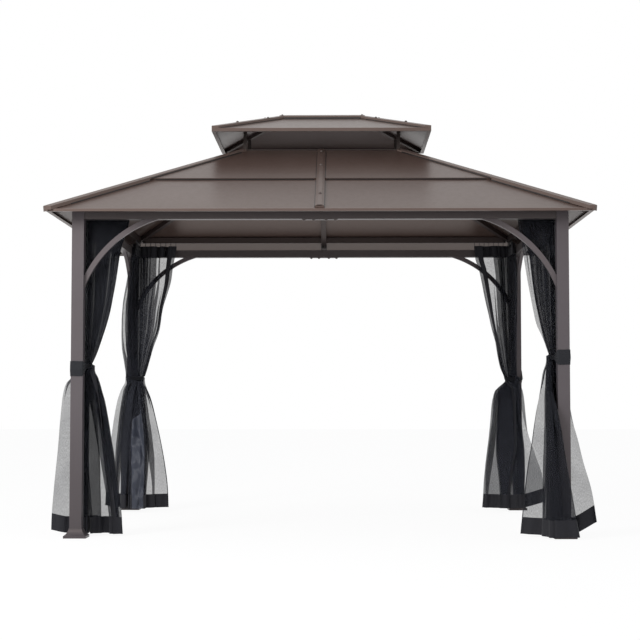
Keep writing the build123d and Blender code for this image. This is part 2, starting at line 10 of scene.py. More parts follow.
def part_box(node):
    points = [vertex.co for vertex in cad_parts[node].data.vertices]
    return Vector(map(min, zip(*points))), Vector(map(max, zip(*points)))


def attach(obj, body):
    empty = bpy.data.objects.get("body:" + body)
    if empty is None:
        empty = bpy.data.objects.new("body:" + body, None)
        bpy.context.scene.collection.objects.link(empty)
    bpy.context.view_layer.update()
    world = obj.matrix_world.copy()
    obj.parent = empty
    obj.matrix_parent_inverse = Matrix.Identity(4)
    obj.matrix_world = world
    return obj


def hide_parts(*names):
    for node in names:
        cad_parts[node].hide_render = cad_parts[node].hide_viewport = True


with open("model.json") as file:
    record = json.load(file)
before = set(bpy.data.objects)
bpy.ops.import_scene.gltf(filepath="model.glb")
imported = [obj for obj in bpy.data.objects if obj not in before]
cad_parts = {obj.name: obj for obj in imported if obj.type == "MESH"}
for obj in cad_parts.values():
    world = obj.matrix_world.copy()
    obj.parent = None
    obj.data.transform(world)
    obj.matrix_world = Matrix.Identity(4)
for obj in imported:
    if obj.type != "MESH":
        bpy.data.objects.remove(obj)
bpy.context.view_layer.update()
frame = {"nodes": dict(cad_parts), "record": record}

scene = bpy.context.scene
nodes = frame["nodes"]
scene.view_settings.view_transform = "Standard"


def rgb(red, green, blue):
    """Linear colour from 8-bit sRGB values."""
    shares = [channel / 255 for channel in (red, green, blue)]
    linear = [s / 12.92 if s <= 0.04045 else ((s + 0.055) / 1.055) ** 2.4 for s in shares]
    return (*linear, 1.0)


# Camera at the photograph's place
camera_place = Vector((0.1299, -11.2885, 0.8925))
camera_pitch = math.radians(3.186)
camera_yaw = math.radians(-0.742)
camera_data = bpy.data.cameras.new("camera")
camera_data.lens = 83.99
camera_data.sensor_width = 36
camera_data.clip_end = 200
camera = bpy.data.objects.new("camera", camera_data)
scene.collection.objects.link(camera)
camera.location = camera_place
look = Vector((
    math.sin(camera_yaw) * math.cos(camera_pitch),
    math.cos(camera_yaw) * math.cos(camera_pitch),
    math.sin(camera_pitch),
))
camera.rotation_euler = look.to_track_quat("-Z", "Y").to_euler()
scene.camera = camera


# Node helpers
class Tree:
    """Short calls for building one node tree."""

    def __init__(self, tree):
        self.tree = tree
        tree.nodes.clear()

    def add(self, kind, settings=None, **inputs):
        """New node; inputs are values or sockets, by name with _ for a space."""
        made = self.tree.nodes.new(kind)
        for key, value in (settings or {}).items():
            setattr(made, key, value)
        for key, value in inputs.items():
            self.put(made.inputs[key.replace("_", " ")], value)
        return made

    def put(self, socket, value):
        if isinstance(value, bpy.types.NodeSocket):
            self.tree.links.new(value, socket)
        else:
            socket.default_value = value

    def maths(self, operation, first, second=0.0):
        made = self.tree.nodes.new("ShaderNodeMath")
        made.operation = operation
        self.put(made.inputs[0], first)
        self.put(made.inputs[1], second)
        return made.outputs[0]

    def mix(self, share, first, second):
        """Mix of two colours. Its sockets go by number, because several share a name."""
        made = self.tree.nodes.new("ShaderNodeMix")
        made.data_type = "RGBA"
        self.put(made.inputs[0], share)
        self.put(made.inputs[6], first)
        self.put(made.inputs[7], second)
        return made.outputs[2]

    def range(self, value, low, high, to_low=0.0, to_high=1.0):
        made = self.add("ShaderNodeMapRange")
        for slot, number in enumerate((value, low, high, to_low, to_high)):
            self.put(made.inputs[slot], number)
        return made.outputs[0]

    def noise(self, place, scale, detail, rough):
        made = self.add("ShaderNodeTexNoise", Vector=place, Scale=scale, Detail=detail, Roughness=rough)
        return made.outputs["Fac"]

    def stretched(self, place, scale):
        return self.add("ShaderNodeMapping", Vector=place, Scale=scale).outputs[0]

    def clear_view(self):
        """1 for rays that should find plain white: from the camera, from glossy faces and through the nets."""
        path = self.add("ShaderNodeLightPath")
        seen = self.maths("MAXIMUM", path.outputs["Is Camera Ray"], path.outputs["Is Glossy Ray"])
        return self.maths("MAXIMUM", seen, path.outputs["Is Transmission Ray"])

    def blend(self, share, first, second):
        """Mix of two shaders."""
        made = self.add("ShaderNodeMixShader")
        for slot, value in enumerate((share, first.outputs[0], second.outputs[0])):
            self.put(made.inputs[slot], value)
        return made

    def show(self, surface, kind="ShaderNodeOutputMaterial"):
        self.put(self.add(kind).inputs[0], surface.outputs[0])


def new_material(name):
    material = bpy.data.materials.new(name)
    material.use_nodes = True
    return material, Tree(material.node_tree)


def shade(colour, share):
    """The colour scaled in brightness."""
    return (*(channel * share for channel in colour[:3]), 1.0)


dust_colour = rgb(158, 150, 142)
gloss_tint = (1.0, 0.83, 0.75, 1.0)
# Heights where the painted shade at the foot of a part is full and where it has faded out
foot_shade_full, foot_shade_end = 0.05, 0.95


def powder_coat(name, colour, rough, dust=0.05, specular=0.5, foot_shade=0.0, underside_light=None):
    """Satin paint on metal: slow drift in tone, fine grain and faint runs.

    Dust lies on upward faces. The foot shade is painted shade that darkens the paint towards the ground, and the
    underside light is painted light: a lighter colour for downward faces, standing in for light thrown up from below.
    """
    drift, texture = 0.06, 0.1
    material, t = new_material(name)
    place = t.add("ShaderNodeTexCoord").outputs["Object"]
    slow = t.noise(place, 1.7, 4.0, 0.55)
    grain = t.noise(place, 420.0, 2.0, 0.6)
    peel = t.noise(place, 150.0, 2.0, 0.5)
    runs = t.noise(t.stretched(place, (26.0, 26.0, 1.3)), 1.0, 4.0, 0.6)
    upward = t.add("ShaderNodeSeparateXYZ", Vector=t.add("ShaderNodeNewGeometry").outputs["Normal"]).outputs[2]
    tone = t.mix(t.range(slow, 0.3, 0.7), shade(colour, 1 - drift), shade(colour, 1 + drift))
    speck = t.mix(t.range(grain, 0.55, 0.75, 0.0, texture), tone, shade(colour, 1.7))
    streak = t.mix(t.range(runs, 0.52, 0.8, 0.0, 0.1), speck, shade(colour, 0.78))
    lying = t.maths("MULTIPLY", t.range(upward, 0.35, 0.95), t.range(slow, 0.42, 0.7, 0.0, dust))
    dusted = t.mix(lying, streak, dust_colour)
    # Painted shade: the paint darkens towards the ground, fading out with height
    above_ground = t.add("ShaderNodeSeparateXYZ", Vector=place).outputs[2]
    fading = t.range(above_ground, foot_shade_full, foot_shade_end, foot_shade, 0.0)
    foot_shading = t.maths("MULTIPLY", fading, t.range(slow, 0.3, 0.7, 0.85, 1.0))
    painted = t.mix(foot_shading, dusted, shade(colour, 0.5))
    # Painted light: downward faces take a lighter colour, standing in for light bounced up from below
    if underside_light:
        painted = t.mix(t.range(upward, -0.2, -0.6), painted, underside_light)
    grainy = t.range(grain, 0.2, 0.8, rough - 0.04, rough + 0.04)
    gloss = t.maths("ADD", grainy, t.range(runs, 0.4, 0.8, -0.02, 0.03))
    height = t.maths("ADD", t.maths("MULTIPLY", grain, 0.45), peel)
    bump = t.add("ShaderNodeBump", Strength=0.12, Distance=0.0005, Height=height)
    surface = t.add(
        "ShaderNodeBsdfPrincipled", Base_Color=painted, Roughness=gloss, Normal=bump.outputs[0], Metallic=0.0
    )
    surface.inputs["Specular IOR Level"].default_value = specular
    surface.inputs["Specular Tint"].default_value = gloss_tint
    t.show(surface)
    return material


def cloth(name, colour, rough, thread, sheen, cover=1.0, crumple=0.0):
    """Plain weave by the sheet's own metres, with soft folds if crumpled. A net's threads cover only a share of it."""
    material, t = new_material(name)
    flat = t.add("ShaderNodeUVMap", {"uv_map": "cloth"}).outputs[0]
    parts = t.add("ShaderNodeSeparateXYZ", Vector=flat)
    turn = 2 * math.pi / (2 * thread)
    warp = t.maths("SINE", t.maths("MULTIPLY", parts.outputs[0], turn))
    weft = t.maths("SINE", t.maths("MULTIPLY", parts.outputs[1], turn))
    weave = t.maths("MULTIPLY", warp, weft)
    slub = t.noise(t.stretched(flat, (40.0, 900.0, 1.0)), 1.0, 3.0, 0.6)
    patch = t.noise(flat, 5.0, 3.0, 0.5)
    tone = t.mix(t.range(weave, -1.0, 1.0), shade(colour, 0.7), shade(colour, 1.35))
    worn = t.mix(t.range(slub, 0.45, 0.8, 0.0, 0.35), tone, shade(colour, 1.9))
    dusty = t.mix(t.range(patch, 0.45, 0.75, 0.0, 0.25), worn, shade(colour, 1.6))
    bump = t.add("ShaderNodeBump", Strength=0.35, Distance=0.0004, Height=weave)
    if crumple:
        folds = t.noise(t.stretched(flat, (15.0, 7.0, 1.0)), 1.0, 1.0, 0.5)
        folded = t.add("ShaderNodeBump", Strength=1.0, Distance=crumple, Height=folds)
        t.put(bump.inputs["Normal"], folded.outputs[0])
    surface = t.add("ShaderNodeBsdfPrincipled", Base_Color=dusty, Roughness=rough, Normal=bump.outputs[0])
    surface.inputs["Sheen Weight"].default_value = sheen
    surface.inputs["Sheen Roughness"].default_value = 0.45
    surface.inputs["Specular IOR Level"].default_value = 0.3
    if cover < 1:
        woven = t.range(t.maths("ABSOLUTE", weave), 0.0, 1.0, cover - 0.1, cover + 0.1)
        ripple = t.noise(t.stretched(flat, (190.0, 60.0, 1.0)), 1.0, 2.0, 0.6)
        uneven = t.maths("ADD", t.range(patch, 0.3, 0.7, -0.04, 0.04), t.range(ripple, 0.3, 0.7, -0.08, 0.08))
        t.put(surface.inputs["Alpha"], t.maths("ADD", woven, uneven))
    t.show(surface)
    return material


def hardware(name, colour, metallic):
    """Finish of bolts, hooks and the painted shadow strips: brushed, slightly uneven."""
    material, t = new_material(name)
    place = t.add("ShaderNodeTexCoord").outputs["Object"]
    mottle = t.noise(place, 240.0, 3.0, 0.6)
    tone = t.mix(t.range(mottle, 0.35, 0.7), shade(colour, 0.75), shade(colour, 1.3))
    bump = t.add("ShaderNodeBump", Strength=0.2, Distance=0.0004, Height=mottle)
    surface = t.add(
        "ShaderNodeBsdfPrincipled",
        Base_Color=tone,
        Roughness=t.range(mottle, 0.2, 0.8, 0.3, 0.5),
        Normal=bump.outputs[0],
        Metallic=metallic,
    )
    t.show(surface)
    return material


roof_brown = rgb(83, 66, 60)
roof_paint = powder_coat("roof_paint", roof_brown, rough=0.36, specular=0.8)
# Top sheets: the same brown, with painted light on their undersides
top_paint = powder_coat("top_paint", roof_brown, rough=0.36, specular=0.8, underside_light=rgb(106, 98, 98))
trim_paint = powder_coat("trim_paint", rgb(104, 88, 82), rough=0.4, specular=0.6)
# Posts: painted shade darkens them towards the foot
post_paint = powder_coat("post_paint", rgb(101, 96, 100), rough=0.45, dust=0.0, foot_shade=0.7)
beam_paint = powder_coat("beam_paint", rgb(90, 85, 86), rough=0.42, dust=0.0)
brace_paint = powder_coat("brace_paint", rgb(104, 98, 101), rough=0.45, dust=0.0)
# Painted shade: a darker copy of the frame paint for the crown frame and its posts, for the shade under the top tier
crown_shaded_paint = powder_coat("crown_shaded_paint", rgb(38, 34, 34), rough=0.5, dust=0.0)
frame_paint = powder_coat("frame_paint", rgb(62, 54, 53), rough=0.45, dust=0.0)
net_mesh = cloth("net_mesh", rgb(30, 32, 40), rough=0.7, thread=0.0011, sheen=0.1, cover=0.62)
# Painted light: a lighter copy of the net mesh for the back nets, making up for less light reaching the back
back_net_lightened = cloth("back_net_lightened", rgb(46, 48, 57), rough=0.7, thread=0.0011, sheen=0.1, cover=0.6)
net_border = cloth("net_border", rgb(28, 28, 34), rough=0.62, thread=0.0009, sheen=0.12)
net_flap = cloth("net_flap", rgb(66, 70, 82), rough=0.26, thread=0.0012, sheen=0.1, crumple=0.07)
tie_cloth = cloth("tie_cloth", rgb(31, 32, 37), rough=0.6, thread=0.0012, sheen=0.06)
bolt_steel = hardware("bolt_steel", rgb(96, 86, 82), metallic=0.3)
# Painted shade: near-black finish of the strips that stand in for shadow lines in the roof's joints
shadow_strip_finish = hardware("shadow_strip_finish", rgb(26, 21, 20), metallic=0.0)
hook_plastic = hardware("hook_plastic", rgb(36, 35, 37), metallic=0.0)

finish_of_slot = {
    "roof": roof_paint,
    "trim": trim_paint,
    "post": post_paint,
    "beam": beam_paint,
    "brace": brace_paint,
    "frame": frame_paint,
    "net": net_mesh,
    "tie": tie_cloth,
}
# The crown's pieces take the painted shade copy of the frame paint
own_paint = {"rafter_caps": roof_paint, "crown_frame": crown_shaded_paint, "crown_posts": crown_shaded_paint}
for side in ("front", "back", "left", "right"):
    own_paint[side + "_top_panel"] = top_paint
for part in frame["record"]["subparts"]:
    shown = nodes[part["node"]]
    shown.data.materials.clear()
    shown.data.materials.append(own_paint.get(part["node"], finish_of_slot[part["material_slot"]]))


# Light, world and floor
world = bpy.data.worlds.new("world")
scene.world = world
world.use_nodes = True
w = Tree(world.node_tree)
soft_sky = w.add("ShaderNodeBackground", Color=(0.97, 0.98, 1.0, 1), Strength=0.45)
white_sky = w.add("ShaderNodeBackground", Color=(1, 1, 1, 1), Strength=1.0)
w.show(w.blend(w.clear_view(), soft_sky, white_sky), "ShaderNodeOutputWorld")


def lamp(name, place, aim, size, power):
    data = bpy.data.lights.new(name, "AREA")
    data.shape = "DISK"
    data.size = size
    data.energy = power
    made = bpy.data.objects.new(name, data)
    scene.collection.objects.link(made)
    made.location = place
    made.rotation_euler = (Vector(aim) - Vector(place)).to_track_quat("-Z", "Y").to_euler()


lamp("key_light", place=(-5.5, -7.0, 5.1), aim=(-0.6, 0, 1.6), size=3.6, power=325)
lamp("fill_light", place=(8.0, -8.5, 5.0), aim=(0, 0, 1.6), size=6.0, power=30)

half_floor = 40.0
floor_drop = 0.0005
glow_share = 0.84
floor_corners = ((-1, -1), (1, -1), (1, 1), (-1, 1))
floor_mesh = bpy.data.meshes.new("floor")
floor_mesh.from_pydata([(x * half_floor, y * half_floor, -floor_drop) for x, y in floor_corners], [], [(0, 1, 2, 3)])
floor = bpy.data.objects.new("floor", floor_mesh)
scene.collection.objects.link(floor)
floor_white, f = new_material("floor_white")
plain = f.add("ShaderNodeBsdfDiffuse", Color=(0.74, 0.74, 0.74, 1))
glow = f.add("ShaderNodeEmission", Color=(1, 1, 1, 1), Strength=1.1)
f.show(f.blend(f.maths("MULTIPLY", f.clear_view(), glow_share), plain, glow))
floor_mesh.materials.append(floor_white)


# Shared mesh helpers
def new_piece(name, mesh):
    made = bpy.data.objects.new(name, mesh)
    scene.collection.objects.link(made)
    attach(made, "root")
    return made


def along_levels(rows, z):
    """Values at height z from rows (z, values...), highest first, with slopes that don't overshoot."""
    if z >= rows[0][0]:
        return rows[0][1:]
    if z <= rows[-1][0]:
        return rows[-1][1:]
    index = next(i for i in range(len(rows) - 1) if rows[i + 1][0] <= z)
    high, low = rows[index], rows[index + 1]
    span = low[0] - high[0]
    share = (z - high[0]) / span
    values = []
    for k in range(1, len(high)):
        step = (low[k] - high[k]) / span
        slopes = []
        for middle in (index, index + 1):
            if middle in (0, len(rows) - 1):
                slopes.append(step)
                continue
            before = (rows[middle][k] - rows[middle - 1][k]) / (rows[middle][0] - rows[middle - 1][0])
            after = (rows[middle + 1][k] - rows[middle][k]) / (rows[middle + 1][0] - rows[middle][0])
            slopes.append(0.0 if before * after <= 0 else 2 * before * after / (before + after))
        square, cube = share * share, share**3
        values.append(
            (2 * cube - 3 * square + 1) * high[k]
            + (cube - 2 * square + share) * span * slopes[0]
            + (3 * square - 2 * cube) * low[k]
            + (cube - square) * span * slopes[1]
        )
    return tuple(values)


def curve_point(points, share):
    """Point and direction at a share of a smooth curve through the points."""
    scaled = min(max(share, 0.0), 1.0) * (len(points) - 1)
    index = min(max(int(scaled), 0), len(points) - 2)
    s = scaled - index
    p1, p2 = points[index], points[index + 1]
    p0 = points[index - 1] if index else 2 * p1 - p2
    p3 = points[index + 2] if index + 2 < len(points) else 2 * p2 - p1
    first = p2 - p0
    second = 2 * p0 - 5 * p1 + 4 * p2 - p3
    third = 3 * p1 - p0 - 3 * p2 + p3
    place = 0.5 * (2 * p1 + first * s + second * s**2 + third * s**3)
    way = 0.5 * (first + 2 * second * s + 3 * third * s**2)
    return place, way


def ease(share):
    share = min(max(share, 0.0), 1.0)
    return share * share * (3 - 2 * share)


# Nets. Each is one sheet from the front or back rail round to the side rail. Places are measured from the
# inner corner of its post: a runs inward along the long side, b inward along the short side.
plate_margin = 0.028
inner_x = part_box("post_front_right")[0].x + plate_margin
inner_y = -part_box("post_front_right")[1].y + plate_margin
post_size = 0.08
post_clear = 0.005
foot_flare = 0.0425
rail_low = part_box("curtain_rails")[0].z
header_drop = 0.028
header_top = rail_low - header_drop
header_height = 0.092
hem_height = 0.112
hem_clear = 0.014
sheet_width = 3.05
sheet_height = header_top - hem_clear
pleats = 21
columns_per_pleat = 20
column_count = pleats * columns_per_pleat
tie_half = 0.05

# What is said of each net:
#   tie, waist, hem: height of the band's middle, of the narrowest place and of the lower edge
#   lift: how far the header stands above header_top
#   growth: how much further the folds swing out above the hem than at it
#   bunch: outline of the gathered net inside its band
#   rail_line: share of the sheet, place along the rails (-1 free edge, 0 corner, 1 side edge), distance off the rail
#   strip_top: how far the single layer at the free edge is closed at the header
#   upper: z, reach along the long rail, reach along the side rail, billow of the side edge
#   lower: z, inner end, outer end, share of the hem line's depth
#   rise: how far the outer end of the hem stands up
#   hem_line: the way the sheet lies on the ground, fold by fold
#   lead, wrap: after that many points of the hem line the sheet passes in front of the post, at these shares of
#     the way from wrap_start to wrap_end
#   flap: the stretch of the hem line that is a plain shiny band
#   edge_band: width of the border at the free edge, above and below the waist
net_shapes = {
    "front_left": {
        "tie": 1.122,
        "waist": 1.138,
        "hem": 0.014,
        "lift": 0.012,
        "growth": 0.4,
        "bunch": ((0.042, -0.006), (0.043, 0.036), (0.036, 0.06), (-0.035, 0.062), (-0.0845, 0.03)),
        "rail_line": ((0.0, -1.0, 0.0), (0.34, -0.5, 0.0), (0.60, 0.0, 0.0), (0.82, 0.5, 0.0), (1.0, 1.0, 0.0)),
        "upper": (
            (2.20, 0.292, 0.31, 0.0),
            (2.10, 0.278, 0.30, 0.02),
            (1.925, 0.226, 0.26, 0.045),
            (1.72, 0.197, 0.23, 0.05),
            (1.586, 0.174, 0.20, 0.05),
            (1.451, 0.142, 0.17, 0.05),
            (1.316, 0.104, 0.13, 0.05),
            (1.216, 0.072, 0.09, 0.045),
            (1.150, 0.044, 0.05, 0.04),
        ),
        "lower": (
            (1.126, 0.044, -0.03, 0.13),
            (1.07, 0.066, -0.100, 0.17),
            (1.01, 0.082, -0.144, 0.22),
            (0.91, 0.110, -0.168, 0.32),
            (0.778, 0.140, -0.183, 0.44),
            (0.576, 0.180, -0.200, 0.62),
            (0.374, 0.210, -0.221, 0.78),
            (0.105, 0.244, -0.246, 0.97),
            (0.0, 0.252, -0.250, 1.0),
        ),
        "rise": 0.02,
        "hem_line": (
            (0.19, 0.06), (0.252, 0.07), (0.168, 0.09), (0.232, 0.10), (0.172, 0.11), (0.226, 0.12), (0.178, 0.13),
            (0.218, 0.14), (0.08, 0.13), (0.03, 0.10), (0.1, 0.18), (0.012, 0.24),
            (0.004, 0.12), (-0.006, 0.25), (-0.014, 0.11), (-0.024, 0.25), (-0.034, 0.11), (-0.044, 0.24),
            (-0.054, 0.11), (-0.066, 0.22), (-0.08, 0.11), (-0.14, 0.13), (-0.250, 0.15),
        ),
        "edge_band": (0.03, 0.03),
    },
    "front_right": {
        "tie": 1.197,
        "waist": 1.197,
        "hem": 0.014,
        "lift": 0.012,
        "growth": 0.3,
        "strip_top": 0.6,
        "bunch": ((0.042, -0.006), (0.043, 0.036), (0.036, 0.06), (-0.035, 0.062), (-0.0845, 0.03)),
        "rail_line": (
            (0.0, -1.0, 0.0), (0.017, -0.79, 0.002), (0.10, -0.68, 0.0), (0.36, -0.36, 0.0), (0.60, 0.0, 0.0),
            (0.82, 0.5, 0.0), (1.0, 1.0, 0.0),
        ),
        "upper": (
            (2.20, 0.246, 0.30, 0.0),
            (2.10, 0.240, 0.29, 0.02),
            (1.891, 0.206, 0.25, 0.045),
            (1.714, 0.180, 0.22, 0.05),
            (1.594, 0.158, 0.19, 0.05),
            (1.478, 0.130, 0.15, 0.05),
            (1.384, 0.100, 0.11, 0.05),
            (1.29, 0.070, 0.08, 0.045),
            (1.209, 0.044, 0.05, 0.04),
        ),
        "lower": (
            (1.185, 0.044, -0.03, 0.13),
            (1.12, 0.066, -0.04, 0.18),
            (1.054, 0.086, -0.05, 0.22),
            (0.946, 0.117, -0.074, 0.30),
            (0.825, 0.138, -0.100, 0.42),
            (0.63, 0.162, -0.150, 0.58),
            (0.482, 0.186, -0.183, 0.72),
            (0.26, 0.214, -0.233, 0.88),
            (0.0, 0.240, -0.272, 1.0),
        ),
        "rise": 0.085,
        "lead": 2,
        "wrap": (0.0, 0.5, 0.1, 1.0, 0.2),
        "hem_line": (
            (0.24, 0.09), (0.115, 0.02), (0.105, -0.02), (0.01, 0.03), (0.06, 0.05), (0.005, 0.07), (0.055, 0.09),
            (0.005, 0.11), (0.06, 0.13), (0.01, 0.15), (0.055, 0.17), (0.02, 0.19), (0.015, 0.27), (0.008, 0.10),
            (0.0, 0.27), (-0.01, 0.10), (-0.02, 0.27), (-0.032, 0.10), (-0.045, 0.25), (-0.062, 0.08),
            (-0.12, 0.06), (-0.272, 0.04),
        ),
        "edge_band": (0.0, 0.008),
    },
    "back_left": {
        "tie": 1.110,
        "waist": 1.100,
        "hem": 0.03,
        "growth": 0.5,
        "flap": 4,
        "bunch": ((0.062, -0.006), (0.063, 0.036), (0.05, 0.056), (-0.062, 0.06), (-0.0845, 0.036)),
        "rail_line": (
            (0.0, -0.80, 0.024), (0.010, -0.90, 0.016), (0.021, -1.0, 0.0), (0.10, -0.5, 0.0), (0.17, -0.26, 0.0),
            (0.36, -0.14, 0.0), (0.56, 0.0, 0.0), (0.86, 0.5, 0.0), (0.97, 0.78, 0.0), (1.0, 1.0, 0.0),
        ),
        "upper": (
            (2.20, 0.330, 0.30, 0.0),
            (2.05, 0.305, 0.28, 0.035),
            (1.909, 0.290, 0.26, 0.065),
            (1.808, 0.266, 0.25, 0.09),
            (1.694, 0.235, 0.23, 0.112),
            (1.522, 0.204, 0.20, 0.126),
            (1.368, 0.143, 0.16, 0.122),
            (1.237, 0.100, 0.11, 0.105),
            (1.112, 0.058, 0.05, 0.088),
        ),
        "lower": (
            (1.088, 0.058, -0.070, 0.13),
            (1.02, 0.092, -0.102, 0.18),
            (0.918, 0.131, -0.145, 0.30),
            (0.771, 0.172, -0.175, 0.44),
            (0.603, 0.214, -0.195, 0.60),
            (0.393, 0.256, -0.215, 0.78),
            (0.183, 0.283, -0.228, 0.93),
            (0.0, 0.290, -0.235, 1.0),
        ),
        "rise": 0.02,
        "hem_line": (
            (0.29, 0.10), (0.17, 0.15), (0.188, 0.165), (0.115, 0.22), (0.105, 0.305), (0.01, 0.30), (0.02, 0.27),
            (0.13, 0.24), (0.04, 0.20), (0.11, 0.18), (0.03, 0.17), (0.02, 0.25), (0.015, 0.07), (0.004, 0.25),
            (-0.008, 0.07),
            (-0.02, 0.25), (-0.034, 0.08), (-0.045, 0.25), (-0.105, 0.20), (-0.05, 0.19), (-0.108, 0.17),
            (-0.055, 0.15), (-0.105, 0.13), (-0.06, 0.11), (-0.105, 0.10), (-0.16, 0.13), (-0.135, 0.115),
            (-0.155, 0.10), (-0.135, 0.085), (-0.235, 0.14),
        ),
        "edge_band": (0.036, 0.008),
    },
    "back_right": {
        "tie": 1.115,
        "waist": 1.095,
        "hem": 0.03,
        "growth": 0.75,
        "bunch": ((0.06, -0.006), (0.061, 0.036), (0.05, 0.056), (-0.05, 0.06), (-0.0845, 0.03)),
        "rail_line": (
            (0.0, -0.76, 0.024), (0.010, -0.88, 0.016), (0.021, -1.0, 0.0), (0.11, -0.34, 0.0), (0.34, -0.2, 0.0),
            (0.60, 0.0, 0.0), (0.82, 0.5, 0.0), (1.0, 1.0, 0.0),
        ),
        "upper": (
            (2.20, 0.310, 0.30, 0.0),
            (2.10, 0.300, 0.29, 0.01),
            (2.01, 0.270, 0.27, 0.02),
            (1.766, 0.220, 0.24, 0.025),
            (1.573, 0.181, 0.20, 0.025),
            (1.38, 0.132, 0.15, 0.03),
            (1.212, 0.094, 0.10, 0.04),
            (1.107, 0.056, 0.05, 0.05),
        ),
        "lower": (
            (1.083, 0.056, -0.055, 0.13),
            (1.03, 0.100, -0.06, 0.17),
            (0.939, 0.142, -0.08, 0.28),
            (0.763, 0.168, -0.105, 0.46),
            (0.632, 0.187, -0.130, 0.58),
            (0.434, 0.215, -0.180, 0.76),
            (0.257, 0.236, -0.225, 0.90),
            (0.0, 0.256, -0.252, 1.0),
        ),
        "rise": 0.05,
        "hem_line": (
            (0.05, 0.21), (0.256, 0.09), (0.218, 0.10), (0.238, 0.12), (0.13, 0.14),
            (0.05, 0.15), (0.13, 0.16), (0.045, 0.17), (0.125, 0.18), (0.04, 0.19), (0.12, 0.20), (0.02, 0.20),
            (-0.005, 0.18), (-0.075, 0.17), (-0.005, 0.16), (-0.08, 0.15), (-0.01, 0.14), (-0.08, 0.13),
            (-0.012, 0.12), (-0.02, 0.02), (-0.03, 0.11), (-0.04, 0.02), (-0.05, 0.11), (-0.06, 0.02),
            (-0.10, 0.08), (-0.252, 0.14),
        ),
        "edge_band": (0.034, 0.034),
    },
}
wrap_end = (
    (1.3, 0.03, 0.02), (1.0, 0.04, 0.0), (0.9, 0.03, -0.07), (0.8, 0.014, -0.11), (0.6, -0.02, -0.122),
    (0.3, -0.07, -0.13), (0.0, -0.12, -0.146),
)
wrap_start = ((1.3, 0.045, 0.015), (1.0, 0.06, -0.01), (0.9, 0.06, -0.06), (0.8, 0.06, -0.10), (0.0, 0.07, -0.144))
wrap_step = 0.005
rail_face, face_swing = 0.036, 0.014
side_face = 0.014
corner_place, corner_pull = 0.04, 0.02
edge_layer, edge_close = -0.7, 0.8
rail_fold, rail_fold_loss = 0.031, 0.011
skirt_fold, skirt_fold_loss = 0.02, 0.01
skirt_start = 0.012
pinch_half = 0.012
open_drop = 0.11
flap_top, flap_slant = 0.83, 2.4
first_row, coarse_row, waist_row, flap_row = 0.012, 0.026, 0.012, 0.006
pace_step = 0.004
lowest_point = 0.006


def rail_points(shape, z):
    """Line of the sheet above its waist, and the depth of its folds."""
    front, side, billow = along_levels(shape["upper"], z)
    fall = min(max((header_top - z) / (header_top - shape["waist"]), 0.0), 1.0)
    close = ease((fall - 0.6) / 0.4)
    face = rail_face + face_swing * ease(fall * 2) - rail_face * close
    corner = corner_place - corner_pull * close
    closed_low = edge_close * ease((fall - 0.7) / 0.25)
    closed_high = shape.get("strip_top", 0.0) * (1 - ease((fall - 0.1) / 0.25))
    points = []
    for _, along, beside in shape["rail_line"]:
        if -1 < along < edge_layer:
            along -= max(closed_low, closed_high) * (1 + along)
        if along <= 0:
            start = corner - corner_pull * (1 - close) * (1 + along)
            points.append(Vector((start + (front - start) * -along, face + beside * (1 - 0.5 * close))))
        else:
            points.append(Vector((side_face - billow * along**1.3, corner + (side - corner) * along)))
    return points, rail_fold - rail_fold_loss * close


def skirt_points(shape, z):
    """Line of the sheet below its waist."""
    inner, outer, deep = along_levels(shape["lower"], z)
    wrapped = []
    for share in shape.get("wrap", ()):
        start, end = Vector(along_levels(wrap_start, z)), Vector(along_levels(wrap_end, z))
        wrapped.append(start.lerp(end, share) - Vector((0.0, wrap_step * len(wrapped))))
    widest_in, widest_out = shape["lower"][-1][1:3]
    line = []
    for a, b in shape["hem_line"]:
        across = a * inner / widest_in if a > 0 else a * outer / widest_out
        line.append(Vector((across, skirt_start + b * deep)))
    grown = shape["growth"] * ease((z - 0.12) / 0.5)
    points = []
    for before, point, after in zip([line[0]] + line, line, line[1:] + [line[-1]]):
        swung = point.x + grown * (point.x - 0.5 * (before.x + after.x))
        points.append(Vector((min(max(swung, outer), inner), point.y)))
    lead = shape.get("lead", 0)
    return points[:lead] + wrapped + points[lead:]


def line_shares(points):
    """Share of the sheet at each point, by length along the line."""
    travelled = [0.0]
    for first, second in zip(points, points[1:]):
        travelled.append(travelled[-1] + (second - first).length)
    return [length / travelled[-1] for length in travelled]


def columns_along(shares):
    """For every column of the sheet: its place on a line and how fast it moves along it."""
    steps = [(share, float(k)) for k, share in reversed(list(enumerate(shares)))]
    places = []
    for column in range(column_count + 1):
        share = column / column_count
        low, high = max(share - pace_step, 0.0), min(share + pace_step, 1.0)
        pace = (along_levels(steps, high)[0] - along_levels(steps, low)[0]) / (high - low)
        places.append((along_levels(steps, share)[0] / (len(shares) - 1), pace))
    return places


def clear_of_post(a, b, z):
    """Moves a point out of the post and its foot cover, by the nearest face."""
    foot = foot_flare * (1 - ease((z - 0.07) / 0.08))
    limit = foot + post_clear
    reach = -post_size - foot - post_clear
    if reach < a < limit and reach < b < limit:
        nearest = min((limit - a, 0), (limit - b, 1), (b - reach, 2))[1]
        if nearest == 0:
            a = limit
        else:
            b = limit if nearest == 1 else reach
    return a, b


def sheet_levels(waist, has_flap):
    """Distances down the sheet at which it is shaped: closer together at its waist, flap top and hem."""
    falls = [0.0, first_row, header_height * 0.5, header_height]
    hem_start = sheet_height - hem_height
    while falls[-1] < hem_start:
        level = header_top - falls[-1]
        step = waist_row if abs(level - waist) < 0.08 else coarse_row
        if has_flap and flap_top - 0.12 < level < flap_top + 0.02:
            step = flap_row
        falls.append(falls[-1] + step)
    falls[-1] = hem_start
    return falls + [sheet_height - hem_height * share for share in (0.75, 0.5, 0.25, 0.1, 0.0)]


def waver(x, y, z):
    """Smooth noise, from -1 to 1."""
    return noise.noise(Vector((x, y, z)))


def of_pleat(values, share):
    """Value at a share of the sheet, from one value for each pleat."""
    index = min(int(share * pleats), pleats - 1)
    part = share * pleats - index
    return values[index] * (1 - part) + values[index + 1] * part


